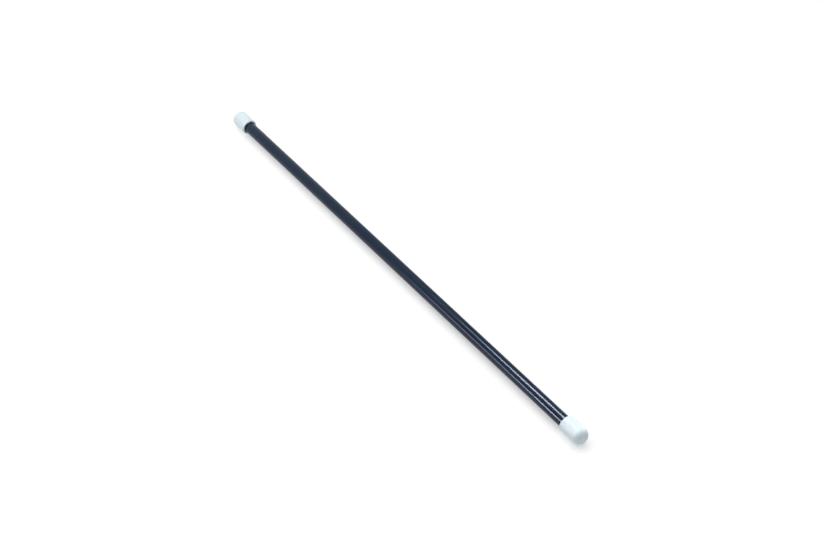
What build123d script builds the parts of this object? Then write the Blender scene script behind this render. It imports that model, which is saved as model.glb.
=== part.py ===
from build123d import *
import os

# Door security bar: a straight steel tube that lies in the track of a sliding door, with a reinforced
# rubber tip pushed over each end. Millimetres. The bar's axis is X, Z is up, and the origin is the middle
# of the bar on the tube's axis. The door end is at +X and the jamb end is at -X.

# Driving dimensions: the tube
TUBE_LENGTH = 1200.0
TUBE_RADIUS = 12.7
TUBE_WALL = 1.2
CUT_CHAMFER = 0.3
WELD_BEAD_WIDTH = 2.4
WELD_BEAD_HEIGHT = 0.4

# Driving dimensions: the rubber tips, whose wall flares from the rim towards the rounded shoulder
TIP_LENGTH = 53.0
TIP_FLOOR = 8.0
RIM_RADIUS = 17.4
FLARE = 0.7
SHOULDER_FILLET = 15.0
RIM_FILLET = 1.5
FIT_CLEARANCE = 0.05

# Driving dimensions: the mouth and the grip ribs inside a tip, the ribs being what the reliefs leave
MOUTH_GAP = 1.0
MOUTH_DEPTH = 3.0
RELIEF_COUNT = 4
RELIEF_WIDTH = 6.0
RELIEF_DEPTH = 0.6
RIB_WIDTH = 3.0

# Driving dimensions: the steel washer, held in a pocket in a tip's floor
WASHER_THICKNESS = 1.6
WASHER_RADIUS = 13.2
WASHER_HOLE_RADIUS = 4.0
WASHER_CHAMFER = 0.2
POCKET_CLEARANCE = 0.15

DOOR_END = 1
JAMB_END = -1

# Worked out from the above: distances along the bar's axis are from a tip's end face, inwards
half_length = TUBE_LENGTH / 2 + WASHER_THICKNESS + TIP_FLOOR
bore_radius = TUBE_RADIUS + FIT_CLEARANCE
pocket_end = TIP_FLOOR + WASHER_THICKNESS
shoulder_radius = RIM_RADIUS + FLARE
relief_pitch = RELIEF_WIDTH + RIB_WIDTH
relief_middle = pocket_end + (TIP_LENGTH - MOUTH_DEPTH - pocket_end) / 2


def end_section(side):
    """The half-plane through the bar's axis at one end: x inwards from the end face, y out from the axis."""
    return Plane(origin=(side * half_length, 0, 0), x_dir=(-side, 0, 0), z_dir=(0, side, 0))


def save(piece, name):
    piece.part.label = name
    export_step(piece.part, f"parts/{name}.step")


def make_tube():
    """The cut length of welded tube, with the seam's low bead inside it along the bottom."""
    with BuildPart() as tube:
        with BuildSketch(Plane.YZ.offset(-TUBE_LENGTH / 2)):
            Circle(TUBE_RADIUS)
            Circle(TUBE_RADIUS - TUBE_WALL, mode=Mode.SUBTRACT)
            with Locations((0, TUBE_WALL - TUBE_RADIUS)):
                Ellipse(WELD_BEAD_WIDTH / 2, WELD_BEAD_HEIGHT)
        extrude(amount=TUBE_LENGTH)
        cut_ends = tube.faces().filter_by(Axis.X)
        chamfer([face.outer_wire().edge() for face in cut_ends], CUT_CHAMFER)
    save(tube, "steel_tube")


def make_tip(side, name):
    """A thick cup: flared wall, rounded shoulder, flat end face, washer pocket and ribbed bore."""
    with BuildPart() as tip:
        with BuildSketch(end_section(side)) as wall:
            with BuildLine():
                Polyline(
                    (0, 0),
                    (0, shoulder_radius),
                    (TIP_LENGTH, RIM_RADIUS),
                    (TIP_LENGTH, bore_radius + MOUTH_GAP),
                    (TIP_LENGTH - MOUTH_DEPTH, bore_radius),
                    (pocket_end, bore_radius),
                    (pocket_end, WASHER_RADIUS + POCKET_CLEARANCE),
                    (TIP_FLOOR, WASHER_RADIUS + POCKET_CLEARANCE),
                    (TIP_FLOOR, 0),
                    close=True,
                )
            make_face()
            fillet(wall.vertices().sort_by_distance((0, shoulder_radius))[0], SHOULDER_FILLET)
            fillet(wall.vertices().sort_by_distance((TIP_LENGTH, RIM_RADIUS))[0], RIM_FILLET)
        revolve(axis=Axis.X)
        with BuildSketch(end_section(side)):
            with Locations((relief_middle, bore_radius)):
                with GridLocations(relief_pitch, 0, RELIEF_COUNT, 1):
                    Rectangle(RELIEF_WIDTH, RELIEF_DEPTH * 2)
        revolve(axis=Axis.X, mode=Mode.SUBTRACT)
    save(tip, name)


def make_washer(side, name):
    """The steel disc that the tube's cut end bears on."""
    with BuildPart() as washer:
        with BuildSketch(Plane.YZ.offset(side * TUBE_LENGTH / 2)):
            Circle(WASHER_RADIUS)
            Circle(WASHER_HOLE_RADIUS, mode=Mode.SUBTRACT)
        extrude(amount=side * WASHER_THICKNESS)
        chamfer(washer.edges().filter_by(GeomType.CIRCLE), WASHER_CHAMFER)
    save(washer, name)


os.makedirs("parts", exist_ok=True)
make_tube()
for side, end_name in ((DOOR_END, "door_end"), (JAMB_END, "jamb_end")):
    make_tip(side, f"{end_name}_tip")
    make_washer(side, f"{end_name}_washer")
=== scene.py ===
import math

import bmesh
import bpy
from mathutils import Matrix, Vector


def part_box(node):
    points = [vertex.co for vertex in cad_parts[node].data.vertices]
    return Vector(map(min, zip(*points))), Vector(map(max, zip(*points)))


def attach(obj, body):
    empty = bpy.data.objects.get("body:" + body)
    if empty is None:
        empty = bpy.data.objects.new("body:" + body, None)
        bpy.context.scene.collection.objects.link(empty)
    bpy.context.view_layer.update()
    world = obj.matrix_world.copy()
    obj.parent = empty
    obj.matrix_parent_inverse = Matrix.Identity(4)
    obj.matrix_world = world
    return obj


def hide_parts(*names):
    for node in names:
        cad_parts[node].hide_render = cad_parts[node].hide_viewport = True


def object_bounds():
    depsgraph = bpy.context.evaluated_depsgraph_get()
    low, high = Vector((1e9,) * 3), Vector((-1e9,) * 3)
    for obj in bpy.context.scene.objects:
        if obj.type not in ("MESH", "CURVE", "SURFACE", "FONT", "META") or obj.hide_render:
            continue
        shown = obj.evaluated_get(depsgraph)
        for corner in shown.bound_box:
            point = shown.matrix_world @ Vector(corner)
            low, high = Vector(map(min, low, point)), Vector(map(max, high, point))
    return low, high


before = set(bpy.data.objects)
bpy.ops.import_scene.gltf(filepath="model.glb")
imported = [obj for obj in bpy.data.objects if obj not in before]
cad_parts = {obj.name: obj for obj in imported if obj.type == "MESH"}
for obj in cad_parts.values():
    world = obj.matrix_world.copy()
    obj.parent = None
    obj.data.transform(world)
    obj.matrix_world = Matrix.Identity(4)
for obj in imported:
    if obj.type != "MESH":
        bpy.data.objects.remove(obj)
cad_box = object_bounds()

# Everything is in metres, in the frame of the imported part: the bar lies along X, and Z is up.
MM = 0.001

# Meshes: facets round each turned piece, and the angle above which an edge stays sharp
SEGMENTS = 160
SHARP_ANGLE = math.radians(32)

# The tube
TUBE_WALL = 1.2 * MM
CUT_ROUND = 0.3 * MM
RING_SPACING = 20 * MM
SEAM_ANGLE = math.radians(-90)
SEAM_HALF_WIDTH = math.radians(6)
SEAM_HEIGHT = 0.4 * MM
ENAMEL_SLOT, CUT_STEEL_SLOT, MILL_STEEL_SLOT = 0, 1, 2

# The tips. Distances along a tip are from its end face, inwards.
TIP_FLOOR = 8.0 * MM
RIM_RADIUS = 17.4 * MM
FLARE = 0.7 * MM
SHOULDER_FILLET = 15.0 * MM
RIM_ROUND = 1.5 * MM
LIP_ROUND = 0.5 * MM
FIT_CLEARANCE = 0.05 * MM
MOUTH_GAP = 1.0 * MM
MOUTH_DEPTH = 3.0 * MM
RELIEF_COUNT = 4
RELIEF_WIDTH = 6.0 * MM
RELIEF_DEPTH = 0.6 * MM
RELIEF_SLOPE = 0.3 * MM
RIB_WIDTH = 3.0 * MM
POCKET_CLEARANCE = 0.15 * MM
WALL_STEPS = 24

# Fine surface shape of the moulded rubber
PARTING_ANGLES = (0.0, math.pi)
PARTING_HALF_WIDTH = math.radians(1.4)
PARTING_HEIGHT = 0.16 * MM

# Wear, by distance from a bar end: where the enamel's rub marks begin and are full, and how deep the
# grime goes on the face that bears
RUB_BEGINS = 85 * MM
RUB_FULL = 56 * MM
GRIME_DEPTH = 6 * MM

# The washers
WASHER_HOLE_RADIUS = 4.0 * MM
WASHER_ROUND = 0.25 * MM

# Camera: its direction and distance from the point it looks at, which is level with the bar's axis
CAMERA_AZIMUTH = math.radians(-35.857)
CAMERA_ELEVATION = math.radians(42.296)
CAMERA_DISTANCE = 3.286
CAMERA_AIM = Vector((0.0718, 0.0102, 0.0))
CAMERA_LENS = 70.0

# Studio: the far wall, as gloss sees it, fades in and out over these ranges of a direction's X part
WALL_STARTS = (-0.5, -0.78)
WALL_ENDS = (-0.94, -0.8)
WORLD_DIM = (0.12, 0.12, 0.13, 1)
WORLD_WALL = (1.3, 1.35, 1.45, 1)
BACKDROP = (1, 1, 1, 1)
COOL_LAMP = (0.88, 0.97, 1.12)
VIOLET_LAMP = (0.95, 0.95, 1.15)
FLOOR_SIZE = 14.0
FLOOR_GAP = 0.1 * MM

tube_low, tube_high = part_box("steel_tube")
tube_radius = tube_high.z
end_x = cad_box[1][0]


# Outlines: lists of (distance along the axis, radius) pairs

def arc(centre, radius, start, end, steps=10):
    """An arc about centre, between two angles in degrees from the outline's first direction."""
    angles = [math.radians(start + (end - start) * i / steps) for i in range(steps + 1)]
    return [(centre[0] + radius * math.cos(a), centre[1] + radius * math.sin(a)) for a in angles]


def tip_outer(length):
    """A tip's outside: flat end face, rounded shoulder, flared wall and rounded rim."""
    slope = FLARE / length
    tilt = math.degrees(math.atan(slope))
    lean = math.sqrt(1 + slope ** 2)

    def centre_radius(along, fillet):
        return RIM_RADIUS + FLARE - slope * along - fillet * lean

    shoulder = (SHOULDER_FILLET, centre_radius(SHOULDER_FILLET, SHOULDER_FILLET))
    rim = (length - RIM_ROUND, centre_radius(length - RIM_ROUND, RIM_ROUND))
    first = arc(shoulder, SHOULDER_FILLET, 180, 90 - tilt, 36)
    last = arc(rim, RIM_ROUND, 90 - tilt, 0, 8)
    wall = []
    for i in range(1, WALL_STEPS):
        share = i / WALL_STEPS
        wall.append(tuple(a + (b - a) * share for a, b in zip(first[-1], last[0])))
    return [(0.0, 0.0), (0.0, shoulder[1] / 2)] + first + wall + last


def tip_inner(length, pocket_end, pocket_radius):
    """A tip's inside, from the lip of its mouth to the middle of its floor."""
    bore = tube_radius + FIT_CLEARANCE
    mouth = bore + MOUTH_GAP
    points = arc((length - LIP_ROUND, mouth + LIP_ROUND), LIP_ROUND, 0, -65, 6)
    points.append((length - MOUTH_DEPTH, bore))
    middle = pocket_end + (length - MOUTH_DEPTH - pocket_end) / 2
    for i in reversed(range(RELIEF_COUNT)):
        at = middle + (i - (RELIEF_COUNT - 1) / 2) * (RELIEF_WIDTH + RIB_WIDTH)
        half = RELIEF_WIDTH / 2
        points += [
            (at + half, bore),
            (at + half - RELIEF_SLOPE, bore + RELIEF_DEPTH),
            (at - half + RELIEF_SLOPE, bore + RELIEF_DEPTH),
            (at - half, bore),
        ]
    points += [
        (pocket_end, bore),
        (pocket_end, pocket_radius),
        (TIP_FLOOR, pocket_radius),
        (TIP_FLOOR, 0.0),
    ]
    return points


# Meshes

def lathe(name, outline, place, radius_at=None, closed=False, slots=None):
    """Turns an outline about the X axis. place(distance) gives x, radius_at(distance, radius, angle) may
    change the radius, and slots gives each stretch of the outline its material slot. closed joins the
    outline's last point to its first."""
    mesh = bmesh.new()
    rings = []
    for along, radius in outline:
        if radius == 0:
            rings.append([mesh.verts.new((place(along), 0, 0))])
            continue
        ring = []
        for k in range(SEGMENTS):
            angle = 2 * math.pi * k / SEGMENTS
            r = radius_at(along, radius, angle) if radius_at else radius
            ring.append(mesh.verts.new((place(along), r * math.cos(angle), r * math.sin(angle))))
        rings.append(ring)
    pairs = list(zip(rings, rings[1:]))
    if closed:
        pairs.append((rings[-1], rings[0]))
    for i, (one, two) in enumerate(pairs):
        for k in range(SEGMENTS):
            after = (k + 1) % SEGMENTS
            if len(one) == 1:
                corners = (one[0], two[after], two[k])
            elif len(two) == 1:
                corners = (one[k], one[after], two[0])
            else:
                corners = (one[k], one[after], two[after], two[k])
            face = mesh.faces.new(corners)
            face.smooth = True
            face.material_index = slots[i] if slots else 0
    bmesh.ops.recalc_face_normals(mesh, faces=mesh.faces)
    for edge in mesh.edges:
        if edge.calc_face_angle(0) > SHARP_ANGLE:
            edge.smooth = False
    data = bpy.data.meshes.new(name)
    mesh.to_mesh(data)
    mesh.free()
    piece = bpy.data.objects.new(name, data)
    bpy.context.scene.collection.objects.link(piece)
    return piece


def bump_near(angle, middle, half_width):
    """1 at the middle angle, falling smoothly to 0 at half_width either side."""
    off = abs((angle - middle + math.pi) % (2 * math.pi) - math.pi)
    return math.cos(off / half_width * math.pi / 2) ** 2 if off < half_width else 0.0


def make_tube(enamel, cut_steel, mill_steel):
    """The tube, with softened cut ends, and the weld seam's bead along the inside."""
    inner = tube_radius - TUBE_WALL
    low, high = tube_low.x, tube_high.x
    count = round((high - low) / RING_SPACING)
    spacing = (high - low - 2 * CUT_ROUND) / count
    along = [low + CUT_ROUND + spacing * i for i in range(count + 1)]
    outer = [(x, tube_radius) for x in along]
    inside = [(x, inner) for x in reversed(along)]
    high_end = arc((high - CUT_ROUND, tube_radius - CUT_ROUND), CUT_ROUND, 90, 0, 5)
    low_end = arc((low + CUT_ROUND, tube_radius - CUT_ROUND), CUT_ROUND, 180, 90, 5)
    high_face = [(high, inner)]
    low_face = [(low, inner)]
    outline = outer + high_end[1:] + high_face + inside[1:-1] + low_face + low_end[:-1]
    slots = []
    for i in range(len(outline)):
        (x0, r0), (x1, r1) = outline[i], outline[(i + 1) % len(outline)]
        if min(r0, r1) >= tube_radius - CUT_ROUND * 0.6 and abs(x1 - x0) > 0:
            slots.append(ENAMEL_SLOT)
        elif max(r0, r1) > inner:
            slots.append(CUT_STEEL_SLOT)
        else:
            slots.append(MILL_STEEL_SLOT)

    def seam(x, radius, angle):
        if radius > inner:
            return radius
        return radius - SEAM_HEIGHT * bump_near(angle, SEAM_ANGLE, SEAM_HALF_WIDTH)

    piece = lathe("tube_shell", outline, lambda x: x, seam, closed=True, slots=slots)
    for material in (enamel, cut_steel, mill_steel):
        piece.data.materials.append(material)
    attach(piece, "bar")
    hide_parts("steel_tube")


def make_tip(end_name, body, side, rubber):
    """A rubber tip, moulded in two halves that leave a fine parting line along its sides."""
    low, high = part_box(f"{end_name}_tip")
    washer_low, washer_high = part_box(f"{end_name}_washer")
    length = high.x - low.x
    pocket_end = TIP_FLOOR + washer_high.x - washer_low.x
    outline = tip_outer(length) + tip_inner(length, pocket_end, washer_high.z + POCKET_CLEARANCE)

    def parting(along, radius, angle):
        if along >= TIP_FLOOR and radius < RIM_RADIUS - RIM_ROUND:
            return radius
        rise = max(bump_near(angle, at, PARTING_HALF_WIDTH) for at in PARTING_ANGLES)
        over_shoulder = min(along / SHOULDER_FILLET, 1.0)
        return radius - PARTING_HEIGHT * over_shoulder * (1 - rise)

    piece = lathe(f"{end_name}_rubber", outline, lambda along: side * (end_x - along), parting)
    piece.data.materials.append(rubber)
    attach(piece, body)
    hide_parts(f"{end_name}_tip")


def make_washer(end_name, body, zinc):
    """A stamped washer: rounded on its punched edges."""
    low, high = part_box(f"{end_name}_washer")
    outer, hole, soft = high.z, WASHER_HOLE_RADIUS, WASHER_ROUND
    outline = (
        arc((high.x - soft, outer - soft), soft, 0, 90, 4)
        + arc((low.x + soft, outer - soft), soft, 90, 180, 4)
        + arc((low.x + soft, hole + soft), soft, 180, 270, 4)
        + arc((high.x - soft, hole + soft), soft, 270, 360, 4)
    )
    piece = lathe(f"{end_name}_disc", outline, lambda x: x, closed=True)
    piece.data.materials.append(zinc)
    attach(piece, body)
    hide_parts(f"{end_name}_washer")


# Materials

class Surface:
    """A procedural material: the shader, and the few node patterns that the materials share."""

    def __init__(self, name, **values):
        self.material = bpy.data.materials.new(name)
        self.material.use_nodes = True
        self.nodes = self.material.node_tree.nodes
        self.links = self.material.node_tree.links
        self.shader = self.nodes["Principled BSDF"]
        for socket, value in values.items():
            self.shader.inputs[socket.replace("_", " ")].default_value = value
        self.place = self.nodes.new("ShaderNodeTexCoord").outputs["Object"]

    def stretched(self, scale):
        """The place on the piece, scaled apart along X, Y and Z so that a pattern runs one way."""
        mapping = self.nodes.new("ShaderNodeMapping")
        mapping.inputs["Scale"].default_value = scale
        self.links.new(self.place, mapping.inputs["Vector"])
        return mapping.outputs["Vector"]

    def noise(self, scale, detail=3.0, rough=0.5, place=None):
        node = self.nodes.new("ShaderNodeTexNoise")
        node.inputs["Scale"].default_value = scale
        node.inputs["Detail"].default_value = detail
        node.inputs["Roughness"].default_value = rough
        self.links.new(place or self.place, node.inputs["Vector"])
        return node.outputs["Fac"]

    def remap(self, value, low, high, to_low=0.0, to_high=1.0):
        """Takes low..high smoothly to to_low..to_high, and holds it level outside."""
        node = self.nodes.new("ShaderNodeMapRange")
        node.interpolation_type = "SMOOTHSTEP"
        for socket, number in zip(("From Min", "From Max", "To Min", "To Max"), (low, high, to_low, to_high)):
            node.inputs[socket].default_value = number
        self.links.new(value, node.inputs["Value"])
        return node.outputs["Result"]

    def math(self, operation, one, two):
        node = self.nodes.new("ShaderNodeMath")
        node.operation = operation
        for socket, value in zip(node.inputs, (one, two)):
            if isinstance(value, (int, float)):
                socket.default_value = value
            else:
                self.links.new(value, socket)
        return node.outputs["Value"]

    def mix(self, share, one, two):
        node = self.nodes.new("ShaderNodeMix")
        node.data_type = "RGBA"
        for socket, value in zip((node.inputs[0], node.inputs[6], node.inputs[7]), (share, one, two)):
            if isinstance(value, bpy.types.NodeSocket):
                self.links.new(value, socket)
            else:
                socket.default_value = value
        return node.outputs[2]

    def axis(self, name):
        node = self.nodes.new("ShaderNodeSeparateXYZ")
        self.links.new(self.place, node.inputs[0])
        return node.outputs[name]

    def set(self, socket, value):
        self.links.new(value, self.shader.inputs[socket])

    def bump(self, height, distance, strength=1.0, under=None):
        """A normal from a height pattern, laid over the normal under it if there is one."""
        node = self.nodes.new("ShaderNodeBump")
        node.inputs["Strength"].default_value = strength
        node.inputs["Distance"].default_value = distance
        self.links.new(height, node.inputs["Height"])
        if under:
            self.links.new(under, node.inputs["Normal"])
        return node.outputs["Normal"]


def enamel_material():
    """Gloss navy-black stove enamel with orange peel, fine hairlines and rubbing beside the tips."""
    s = Surface("navy_enamel", IOR=1.27)
    tone = s.remap(s.noise(9, 4, 0.6), 0.3, 0.7)
    colour = s.mix(tone, (0.009, 0.0205, 0.044, 1), (0.0125, 0.025, 0.049, 1))
    lengthwise = s.stretched((14, 1700, 1700))
    hairlines = s.remap(s.noise(1, 2, 0.5, lengthwise), 0.66, 0.74)
    patches = s.remap(s.noise(38, 3, 0.6), 0.5, 0.72)
    scuff = s.math("MULTIPLY", hairlines, patches)
    reach = s.math("ABSOLUTE", s.axis("X"), 0)
    near_tip = s.remap(reach, end_x - RUB_BEGINS, end_x - RUB_FULL)
    rings = s.remap(s.noise(1, 3, 0.6, s.stretched((900, 130, 130))), 0.52, 0.7)
    rub = s.math("MULTIPLY", near_tip, rings)
    worn = s.math("MAXIMUM", s.math("MULTIPLY", scuff, 0.5), s.math("MULTIPLY", rub, 0.22))
    s.set("Base Color", s.mix(worn, colour, (0.055, 0.065, 0.08, 1)))
    gloss = s.remap(s.noise(55, 4, 0.6), 0.3, 0.75, 0.14, 0.2)
    s.set("Roughness", s.math("ADD", gloss, s.math("MULTIPLY", worn, 0.25)))
    peel = s.bump(s.noise(420, 2, 0.45), 0.00002, 0.14)
    s.set("Normal", s.bump(scuff, 0.00002, 0.4, peel))
    return s.material


def cut_steel_material():
    """Bare steel on the sawn ends."""
    s = Surface("cut_steel", Metallic=1.0)
    marks = s.noise(1, 2, 0.6, s.stretched((300, 300, 4200)))
    s.set("Base Color", s.mix(s.noise(160, 3), (0.36, 0.35, 0.34, 1), (0.52, 0.51, 0.50, 1)))
    s.set("Roughness", s.remap(marks, 0.3, 0.7, 0.28, 0.5))
    s.set("Normal", s.bump(marks, 0.00006, 0.5))
    return s.material


def mill_steel_material():
    """The bare inside of the tube: drawn steel with a thin dark scale and a little rust bloom."""
    s = Surface("mill_steel", Metallic=0.85)
    scale = s.remap(s.noise(70, 5, 0.65), 0.35, 0.65)
    steel = s.mix(scale, (0.15, 0.15, 0.155, 1), (0.27, 0.26, 0.25, 1))
    rust = s.remap(s.noise(210, 5, 0.7), 0.62, 0.74)
    s.set("Base Color", s.mix(rust, steel, (0.17, 0.085, 0.045, 1)))
    s.set("Roughness", s.remap(s.noise(1, 3, 0.6, s.stretched((30, 900, 900))), 0.3, 0.7, 0.38, 0.6))
    s.set("Normal", s.bump(s.noise(1, 3, 0.6, s.stretched((40, 1500, 1500))), 0.00004, 0.5))
    return s.material


def rubber_material():
    """Cool white moulded rubber, faintly mottled, with scuffs and grime on the end that bears."""
    s = Surface("white_rubber", IOR=1.5, Subsurface_Weight=0.12, Subsurface_Scale=0.002)
    s.shader.inputs["Subsurface Radius"].default_value = (1.0, 0.95, 0.9)
    mottle = s.remap(s.noise(95, 5, 0.6), 0.32, 0.68)
    colour = s.mix(mottle, (0.645, 0.755, 0.785, 1), (0.68, 0.785, 0.81, 1))
    reach = s.math("ABSOLUTE", s.axis("X"), 0)
    bearing = s.remap(reach, end_x - GRIME_DEPTH, end_x)
    specks = s.remap(s.noise(420, 6, 0.7), 0.55, 0.75)
    smears = s.remap(s.noise(1, 4, 0.65, s.stretched((60, 260, 90))), 0.55, 0.8)
    on_end = s.math("MULTIPLY", bearing, s.math("MAXIMUM", specks, smears))
    anywhere = s.math("MULTIPLY", smears, 0.10)
    grime = s.math("MAXIMUM", s.math("MULTIPLY", on_end, 0.3), anywhere)
    s.set("Base Color", s.mix(grime, colour, (0.34, 0.36, 0.37, 1)))
    s.set("Roughness", s.remap(s.noise(130, 4, 0.6), 0.3, 0.7, 0.46, 0.58))
    grain = s.bump(s.noise(1500, 3, 0.55), 0.00004, 0.3)
    s.set("Normal", s.bump(s.noise(70, 3, 0.5), 0.00012, 0.35, grain))
    return s.material


def zinc_material():
    """Bright zinc plate on the stamped washers, with a light bluish passivation."""
    s = Surface("zinc_plate", Metallic=1.0)
    bloom = s.remap(s.noise(140, 4, 0.6), 0.35, 0.68)
    s.set("Base Color", s.mix(bloom, (0.56, 0.58, 0.62, 1), (0.66, 0.66, 0.64, 1)))
    s.set("Roughness", s.remap(s.noise(300, 4, 0.6), 0.3, 0.7, 0.2, 0.38))
    s.set("Normal", s.bump(s.noise(1, 3, 0.6, s.stretched((700, 90, 700))), 0.00004, 0.4))
    return s.material


def floor_material():
    """White acrylic, lit from beneath so that shadows on it stay light."""
    s = Surface("studio_floor", Roughness=0.9, Specular_IOR_Level=0.1, Emission_Strength=0.45)
    s.shader.inputs["Emission Color"].default_value = (1, 1, 1, 1)
    s.set("Base Color", s.mix(s.noise(3, 3), (0.54, 0.54, 0.54, 1), (0.57, 0.57, 0.57, 1)))
    return s.material


# Studio

def make_floor():
    """A plain floor just under the part."""
    mesh = bmesh.new()
    bmesh.ops.create_grid(mesh, x_segments=8, y_segments=8, size=FLOOR_SIZE / 2)
    data = bpy.data.meshes.new("floor")
    mesh.to_mesh(data)
    mesh.free()
    data.materials.append(floor_material())
    floor = bpy.data.objects.new("floor", data)
    floor.location.z = cad_box[0][2] - FLOOR_GAP
    bpy.context.scene.collection.objects.link(floor)


def add_light(name, data, place, turn):
    """Puts a light, turned by three angles in degrees, in the scene, where the camera doesn't see it."""
    light = bpy.data.objects.new(name, data)
    light.location = place
    light.rotation_euler = [math.radians(angle) for angle in turn]
    light.visible_camera = False
    bpy.context.scene.collection.objects.link(light)
    return light


def make_strip(name, place, turn, length, width, watts, colour):
    """A strip light, lengthwise along X and facing down until it's turned, that only gloss sees. Its twin
    stands half a turn round the bar's middle, so the bar shines from behind as it does from in front."""
    for side, half_turn in (("front", 0), ("back", 180)):
        data = bpy.data.lights.new(f"{name}_{side}", "AREA")
        data.shape = "RECTANGLE"
        data.size, data.size_y = length, width
        data.energy = watts
        data.color = colour
        sign = -1 if half_turn else 1
        x, y, z = place
        light = add_light(data.name, data, (sign * x, sign * y, z), (turn[0], turn[1], turn[2] + half_turn))
        light.visible_diffuse = False


def make_sky(name, strength, turn, spread):
    """Soft light from a wide patch of sky, straight above until it's turned, that gloss doesn't see."""
    data = bpy.data.lights.new(name, "SUN")
    data.energy = strength
    data.angle = math.radians(spread)
    light = add_light(name, data, (0, 0, 2), turn)
    light.visible_glossy = False


def make_fill(name, place, target, size, watts):
    """A square softbox at place, facing target, that gloss doesn't see."""
    data = bpy.data.lights.new(name, "AREA")
    data.size = size
    data.energy = watts
    light = add_light(name, data, place, (0, 0, 0))
    light.rotation_euler = (Vector(target) - Vector(place)).to_track_quat("-Z", "Y").to_euler()
    light.visible_glossy = False


def make_world():
    """Gloss sees a dim studio with a pale wall behind the far end, and the camera a white backdrop."""
    world = bpy.data.worlds.new("studio")
    bpy.context.scene.world = world
    world.use_nodes = True
    nodes, links = world.node_tree.nodes, world.node_tree.links
    direction = nodes.new("ShaderNodeTexCoord").outputs["Generated"]
    parts = nodes.new("ShaderNodeSeparateXYZ")
    links.new(direction, parts.inputs[0])
    wall = nodes.new("ShaderNodeMath")
    wall.operation = "MULTIPLY"
    for socket, (start, end) in zip(wall.inputs, (WALL_STARTS, WALL_ENDS)):
        edge = nodes.new("ShaderNodeMapRange")
        edge.interpolation_type = "SMOOTHSTEP"
        edge.inputs["From Min"].default_value = start
        edge.inputs["From Max"].default_value = end
        links.new(parts.outputs["X"], edge.inputs["Value"])
        links.new(edge.outputs["Result"], socket)
    studio = nodes.new("ShaderNodeMix")
    studio.data_type = "RGBA"
    studio.inputs[6].default_value = WORLD_DIM
    studio.inputs[7].default_value = WORLD_WALL
    links.new(wall.outputs["Value"], studio.inputs[0])
    seen = nodes.new("ShaderNodeMix")
    seen.data_type = "RGBA"
    seen.inputs[7].default_value = BACKDROP
    links.new(nodes.new("ShaderNodeLightPath").outputs["Is Camera Ray"], seen.inputs[0])
    links.new(studio.outputs[2], seen.inputs[6])
    links.new(seen.outputs[2], nodes["Background"].inputs["Color"])
    world.cycles_visibility.diffuse = False


def make_camera():
    """The camera, set back from its aim along its azimuth and elevation."""
    level = Vector((math.cos(CAMERA_AZIMUTH), math.sin(CAMERA_AZIMUTH), 0)) * math.cos(CAMERA_ELEVATION)
    away = level + Vector((0, 0, math.sin(CAMERA_ELEVATION)))
    data = bpy.data.cameras.new("camera")
    data.lens = CAMERA_LENS
    camera = bpy.data.objects.new("camera", data)
    camera.location = CAMERA_AIM + away * CAMERA_DISTANCE
    camera.rotation_euler = (-away).to_track_quat("-Z", "Y").to_euler()
    bpy.context.scene.collection.objects.link(camera)
    bpy.context.scene.camera = camera


make_tube(enamel_material(), cut_steel_material(), mill_steel_material())
rubber = rubber_material()
zinc = zinc_material()
for end_name, body, side in (("door_end", "door_tip", 1), ("jamb_end", "jamb_tip", -1)):
    make_tip(end_name, body, side, rubber)
    make_washer(end_name, body, zinc)

make_floor()
make_world()
make_sky("key", strength=2.9, turn=(-2, -18, 0), spread=80)
make_sky("dome", strength=0.4, turn=(0, 0, 0), spread=175)
make_fill("far_front_fill", place=(-1.5, -0.9, 0.7), target=(-0.6, 0, 0), size=0.8, watts=5)
make_strip(
    "overhead", place=(-0.33, 0.345, 1.5), turn=(0, 0, 50), length=0.9, width=0.32, watts=44,
    colour=COOL_LAMP,
)
make_strip(
    "low_near", place=(-0.12, -1.3, 0.46), turn=(75, 0, 0), length=0.5, width=0.35, watts=22,
    colour=VIOLET_LAMP,
)
make_strip(
    "low_far", place=(-0.64, -1.3, 0.46), turn=(75, 0, 0), length=0.54, width=0.35, watts=5.6,
    colour=VIOLET_LAMP,
)
make_camera()
bpy.context.scene.view_settings.view_transform = "Standard"
